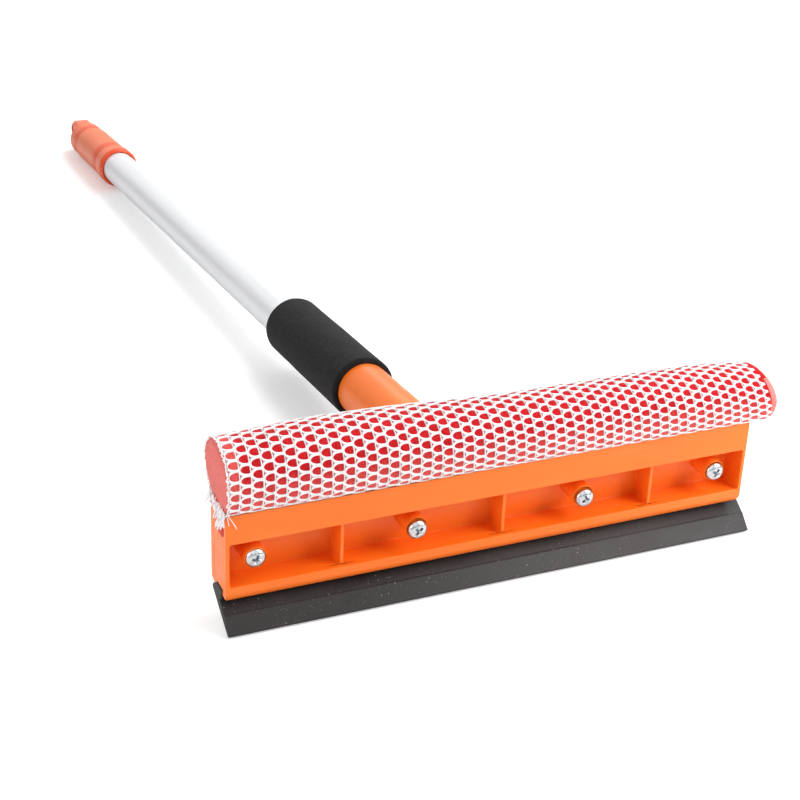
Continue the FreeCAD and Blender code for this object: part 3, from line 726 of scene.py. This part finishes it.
# the net's cut left edge, just outside the clamp's left end, and how many loose threads hang there
LOOP_EDGE, CLAMP_LEFT, LOOSE_THREADS = -124.7, -125.35, 84
# lean and drop of the two long threads over the clamp's front
LONG_THREADS = ((0.9, 8.0), (0.25, 6.0))


def make_frays():
    """Cut threads of the net: short loops round its left edge and loose ends over the slot's corner."""
    random.seed(5)
    bm = bmesh.new()
    arc = -15.5
    while arc < 66:
        wide = random.uniform(1.3, 2.3)
        reach = random.uniform(0.5, 1.3)
        lift = random.uniform(-0.1, 0.35)
        points = []
        for i in range(9):
            turn = math.pi * i / 8
            points.append(on_path(arc + wide * i / 8, LOOP_EDGE - reach * math.sin(turn),
                                  -0.1 + lift * math.sin(turn) - 0.35 * abs(math.cos(turn))))
        add_thread(bm, points, random.uniform(0.2, 0.32))
        arc += random.uniform(0.7, 1.5)
    for number in range(LOOSE_THREADS):
        deep = random.uniform(-0.8, 17.0) if number % 3 else random.uniform(-0.9, 3.0)
        start = Vector((-125.4 - random.uniform(0.0, 1.0), deep,
                        40.4 + random.uniform(0, 2.2) + 0.12 * deep))
        way = Vector((random.uniform(-0.35, 0.05), random.uniform(-0.4, 0.4), -1.0)).normalized()
        length = random.uniform(2.0, 6.0) if number % 5 else random.uniform(5.0, 8.5)
        bend = Vector((random.uniform(-0.5, 0.1), random.uniform(-0.8, 0.8),
                       random.uniform(-0.2, 0.6)))
        points = []
        for i in range(10):
            t = i / 9
            point = start + way * length * t + bend * math.sin(t * 2.6) * length * 0.28
            if point.z < RIM_Z:
                point.x = min(point.x, CLAMP_LEFT)
            points.append(point)
        add_thread(bm, points, random.uniform(0.2, 0.38))
    for lean, drop in LONG_THREADS:
        points = []
        for i in range(10):
            t = i / 9
            points.append(Vector((-124.9 + lean * 5.2 * t, -0.45 - 0.5 * math.sin(3.0 * t),
                                  40.9 - drop * t ** 1.25)))
        add_thread(bm, points, 0.2)
    obj = add_object("net_frays", mesh_from(bm, "net_frays"), NET)
    smooth(obj, 70)
    return obj


# ------------------------------------------------------------------ rubber blade
BLADE_SLANT = math.radians(32.4)
BLADE_START, BLADE_LENGTH = -125.5, 254.0
# the wiping edge's back corner, as y and z, and the flat that stands on the floor
EDGE_Y, EDGE_Z, EDGE_FLAT = -3.0, -16.7, 1.3
# the lip's wave grows from the clamp's bottom down to the edge
WAVE, WAVE_TOP, WAVE_DEPTH = 0.22, -3.0, 13.7


def blade_outline():
    """The blade's section as (y, z): lip, the crease across it, and the root in the clamp's channel."""
    along = (math.cos(BLADE_SLANT), math.sin(BLADE_SLANT))
    out = (-math.sin(BLADE_SLANT), math.cos(BLADE_SLANT))

    def place(rise, thick):
        return EDGE_Y + rise * along[0] + thick * out[0], EDGE_Z + rise * along[1] + thick * out[1]

    flat = (EDGE_Y - EDGE_FLAT * math.cos(FLOOR_ANGLE), EDGE_Z + EDGE_FLAT * math.sin(FLOOR_ANGLE))
    lip = [place(0, 0), flat, place(-1.5, 2.6)]
    crease = [place(7.2, 4.5), place(7.7, 4.3), place(15.0, 4.45)]
    root = [(5.4, -3.0), (4.6, 1.4), (11.5, 1.4), (16.0, -1.5), place(24.2, 0)]
    return lip + crease + root


def make_blade():
    """Extruded blade whose lip has a slight wave."""
    outline = blade_outline()
    steps = 110
    bm = bmesh.new()
    rings = []
    for i in range(steps + 1):
        x = BLADE_START + BLADE_LENGTH * i / steps
        ring = []
        for y, z in outline:
            reach = min(max((WAVE_TOP - z) / WAVE_DEPTH, 0.0), 1.0)
            wave = WAVE * noise.noise(Vector((x * 0.018, 1.7, 0.0))) * reach
            ring.append(bm.verts.new((x, y + wave * 0.54, z + abs(wave) * 0.3 * reach)))
        rings.append(ring)
    for ring, after in zip(rings, rings[1:]):
        bridge(bm, ring, after)
    bm.faces.new(rings[0])
    bm.faces.new(rings[-1])
    obj = add_object("wiper_blade", mesh_from(bm, "wiper_blade"), RUBBER)
    ease = obj.modifiers.new("ease", "BEVEL")
    ease.width = 0.00028
    ease.segments = 2
    ease.limit_method = "ANGLE"
    ease.angle_limit = math.radians(14)
    smooth(obj, 9)
    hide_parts("rubber_blade")


# ------------------------------------------------------------------ screws
# x of each clamp screw, the turn it was left at in degrees, and how far it stands out and sits low
SCREWS = ((-111.8, 12, 0.2, 0.0), (-39.5, 47, 1.5, 0.5), (41.3, 70, 1.7, 0.5), (109.2, 28, 0.9, 0.2))
SCREW_Y, SCREW_Z = 1.3, 16.8
SCREW_PROFILE = ((-2.25, 0.0), (-2.22, 1.0), (-2.1, 2.1), (-1.82, 3.1), (-1.3, 3.85), (-0.75, 4.3),
                 (-0.4, 4.45), (0.0, 4.45), (0.0, 2.1), (19.6, 2.1), (22.0, 0.6), (22.0, 0.0))
# the punch that cuts the recess: (y, reach of its arms, half their width) at its wide and narrow ends
PUNCH = ((-3.2, 3.1, 0.74), (-0.7, 1.1, 0.46))
# faces of the head this near its axis, between these depths, are the recess, which gets painted shade
RECESS_RADIUS, RECESS_FROM, RECESS_TO = 2.75, -1.75, -0.3


def make_screws():
    """Pan-head screws with a tapered cross recess, each turned as it was left by the driver."""
    for number, (x, turn, out, drop) in enumerate(SCREWS, 1):
        body = lathe("screw_body", SCREW_PROFILE, 64)
        obj = bpy.data.objects.new(f"clamp_screw_{number}", body)
        bpy.context.scene.collection.objects.link(obj)
        cutter = cross_cutter()
        cut = obj.modifiers.new("recess", "BOOLEAN")
        cut.operation = "DIFFERENCE"
        cut.solver = "EXACT"
        cut.object = cutter
        bpy.context.view_layer.update()
        done = bpy.data.meshes.new_from_object(obj.evaluated_get(bpy.context.evaluated_depsgraph_get()))
        obj.modifiers.clear()
        bpy.data.objects.remove(cutter)
        done.materials.clear()
        done.materials.append(ZINC)
        done.materials.append(RECESS_SHADE)
        # the recess's faces get the painted shade
        for face in done.polygons:
            radius = math.hypot(face.center.x, face.center.z)
            inside = radius < RECESS_RADIUS and RECESS_FROM < face.center.y < RECESS_TO
            face.material_index = 1 if inside else 0
        place = Matrix.Translation((x, SCREW_Y - out, SCREW_Z - drop))
        done.transform(place @ Matrix.Rotation(math.radians(turn), 4, "Y"))
        done.transform(HEAD)
        obj.data = done
        smooth(obj, 35)
        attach(obj, HEAD_BODY)
        if number == 1:
            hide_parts("clamp_screws")


def cross_cutter():
    """Tapered punch with a cross section, pointing into the screw's head."""
    bm = bmesh.new()
    rings = []
    for y, reach, half in PUNCH:
        ring = []
        for quarter in range(4):
            turn = Matrix.Rotation(math.radians(90 * quarter), 2)
            for corner_point in ((reach, -half), (reach, half), (half, half)):
                x, z = turn @ Vector(corner_point)
                ring.append(bm.verts.new((x, y, z)))
        rings.append(ring)
    upper, lower = rings
    bm.faces.new(upper)
    bm.faces.new(lower)
    bridge(bm, upper, lower)
    punch = bpy.data.objects.new("cross_punch", mesh_from(bm, "cross_punch"))
    bpy.context.scene.collection.objects.link(punch)
    return punch


# ------------------------------------------------------------------ foam sleeve
FOAM_START, FOAM_END = 158.0, 264.0
FOAM_OUTER, FOAM_INNER, FOAM_ROUND, FOAM_BULGE = 16.8, 12.0, 1.9, 0.16


def make_foam():
    """Foam tube pushed over the handle, with soft rims and a slightly uneven skin."""
    steps = 70
    first, last = FOAM_START + FOAM_ROUND, FOAM_END - FOAM_ROUND
    straight = FOAM_END - FOAM_START - 2 * FOAM_ROUND
    shoulder = FOAM_OUTER - FOAM_ROUND
    profile = [(FOAM_START, FOAM_INNER)]
    profile += corner((first, shoulder), FOAM_ROUND, 180, 90)
    profile += [(first + straight * i / steps, FOAM_OUTER) for i in range(1, steps)]
    profile += corner((last, shoulder), FOAM_ROUND, 90, 0)
    profile.append((FOAM_END, FOAM_INNER))
    mesh = lathe("foam_sleeve", profile, 120)
    for v in mesh.vertices:
        radius = math.hypot(v.co.x, v.co.z)
        if radius < FOAM_INNER + 1:
            continue
        grain = Vector((v.co.x * 0.12, v.co.y * 0.06, v.co.z * 0.12))
        bulge = FOAM_BULGE * noise.noise(grain)
        v.co.x *= 1 + bulge / radius
        v.co.z *= 1 + bulge / radius
    obj = add_object("foam_sleeve", mesh, FOAM, HANDLE)
    smooth(obj, 50)
    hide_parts("foam_grip")


make_sponge()
net = make_net()
frays = make_frays()
make_blade()
make_screws()
make_foam()


# ------------------------------------------------------------------ floor, light and camera
FLOOR_LIFT, FLOOR_FADE = 0.34, 2.2
# half the floor's side, and how far it lies under the part so that nothing shares its plane, in metres
FLOOR_HALF, FLOOR_GAP = 6.0, 0.0002


def floor_white():
    """Matt white; the eye sees it lifted, wholly so from FLOOR_FADE on: only near shadows stand out."""
    m = Nodes("floor_white")
    m.set(Base_Color=m.ramp(m.noise(3.0, 2.0), (0.3, (0.90, 0.90, 0.90)), (0.7, (0.92, 0.92, 0.92))))
    m.set(Roughness=0.6, Specular_IOR_Level=0.2)
    m.set(Emission_Color=(1, 1, 1, 1))
    away = m.node("ShaderNodeVectorMath", operation="LENGTH", Vector=m.place).outputs["Value"]
    lift = m.ramp(m.math("DIVIDE", away, FLOOR_FADE), (0.4, (FLOOR_LIFT,)), (1.0, (1.0,)))
    seen = m.node("ShaderNodeLightPath").outputs["Is Camera Ray"]
    m.set(Emission_Strength=m.math("MULTIPLY", seen, lift))
    return m.material


def make_floor():
    bm = bmesh.new()
    bmesh.ops.create_grid(bm, x_segments=8, y_segments=8, size=FLOOR_HALF)
    mesh = bpy.data.meshes.new("floor")
    bm.to_mesh(mesh)
    bm.free()
    floor = bpy.data.objects.new("floor", mesh)
    floor.location = (0, 0, -FLOOR_GAP)
    bpy.context.scene.collection.objects.link(floor)
    floor.data.materials.append(floor_white())


def make_world():
    """White to the eye; dim at the horizon and bright overhead in gloss; brighter above as light."""
    m = Nodes("studio", bpy.data.worlds)
    bpy.context.scene.world = m.material
    height = m.axis(m.tree.nodes.new("ShaderNodeTexCoord").outputs["Generated"], "Z")
    light = m.ramp(height, (0.0, (0.18,)), (0.35, (0.26,)), (0.75, (0.55,)), (1.0, (0.65,)))
    gloss = m.ramp(height, (0.0, (0.42,)), (0.10, (0.46,)), (0.32, (1.1,)), (1.0, (1.15,)))
    rays = m.node("ShaderNodeLightPath").outputs
    colour = m.mix(rays["Is Glossy Ray"], light, gloss)
    colour = m.mix(rays["Is Camera Ray"], colour, (1.0, 1.0, 1.0))
    back = m.tree.nodes["Background"]
    m.feed(back.inputs["Color"], colour)
    back.inputs["Strength"].default_value = 1.0


def area_light(name, place, target, side, power):
    """Square white lamp with sides in metres, aimed at its target."""
    light = bpy.data.lights.new(name, "AREA")
    light.shape = "RECTANGLE"
    light.size = light.size_y = side
    light.energy = power
    lamp = bpy.data.objects.new(name, light)
    lamp.location = place
    aim = Vector(target) - Vector(place)
    lamp.rotation_euler = aim.to_track_quat("-Z", "Y").to_euler()
    bpy.context.scene.collection.objects.link(lamp)


# the photograph's camera in the head frame, solved from the head's straight edges: focal length and
# picture width in pixels, its three directions, and its place
FOCAL_PIXELS, PICTURE_PIXELS, SENSOR = 1743.5, 800, 36.0
CAMERA_RIGHT = Vector((0.91951, -0.39126, 0.03754))
CAMERA_DOWN = Vector((-0.14822, -0.43362, -0.88882))
CAMERA_AHEAD = Vector((0.36404, 0.81172, -0.45671))
CAMERA_PLACE = (-309.02, -577.39, 404.92)


def make_camera():
    """The camera that took the photograph, carried from the head frame to the row frame."""
    lens = bpy.data.cameras.new("camera")
    lens.sensor_width = SENSOR
    lens.lens = FOCAL_PIXELS / PICTURE_PIXELS * SENSOR
    lens.clip_start = 0.02
    camera = bpy.data.objects.new("camera", lens)
    bpy.context.scene.collection.objects.link(camera)
    turn = Matrix((CAMERA_RIGHT, -CAMERA_DOWN, -CAMERA_AHEAD)).transposed().to_4x4()
    spot, facing, _ = (HEAD @ Matrix.Translation(CAMERA_PLACE) @ turn).decompose()
    camera.location = spot
    camera.rotation_mode = "QUATERNION"
    camera.rotation_quaternion = facing
    bpy.context.scene.camera = camera


make_floor()
make_world()
make_camera()
area_light("key", (0.75, -0.05, 1.35), (0, 0.15, 0), 0.9, 11.5)
area_light("far", (0.40, 0.95, 0.75), (0, 0.6, 0), 0.4, 3.0)
area_light("side", (0.42, -0.32, 0.34), (0.06, 0, 0.03), 0.3, 2.7)
area_light("left", (-0.55, -0.12, 0.22), (-0.12, 0, 0.04), 0.25, 1.0)
bpy.context.scene.view_settings.view_transform = "Standard"
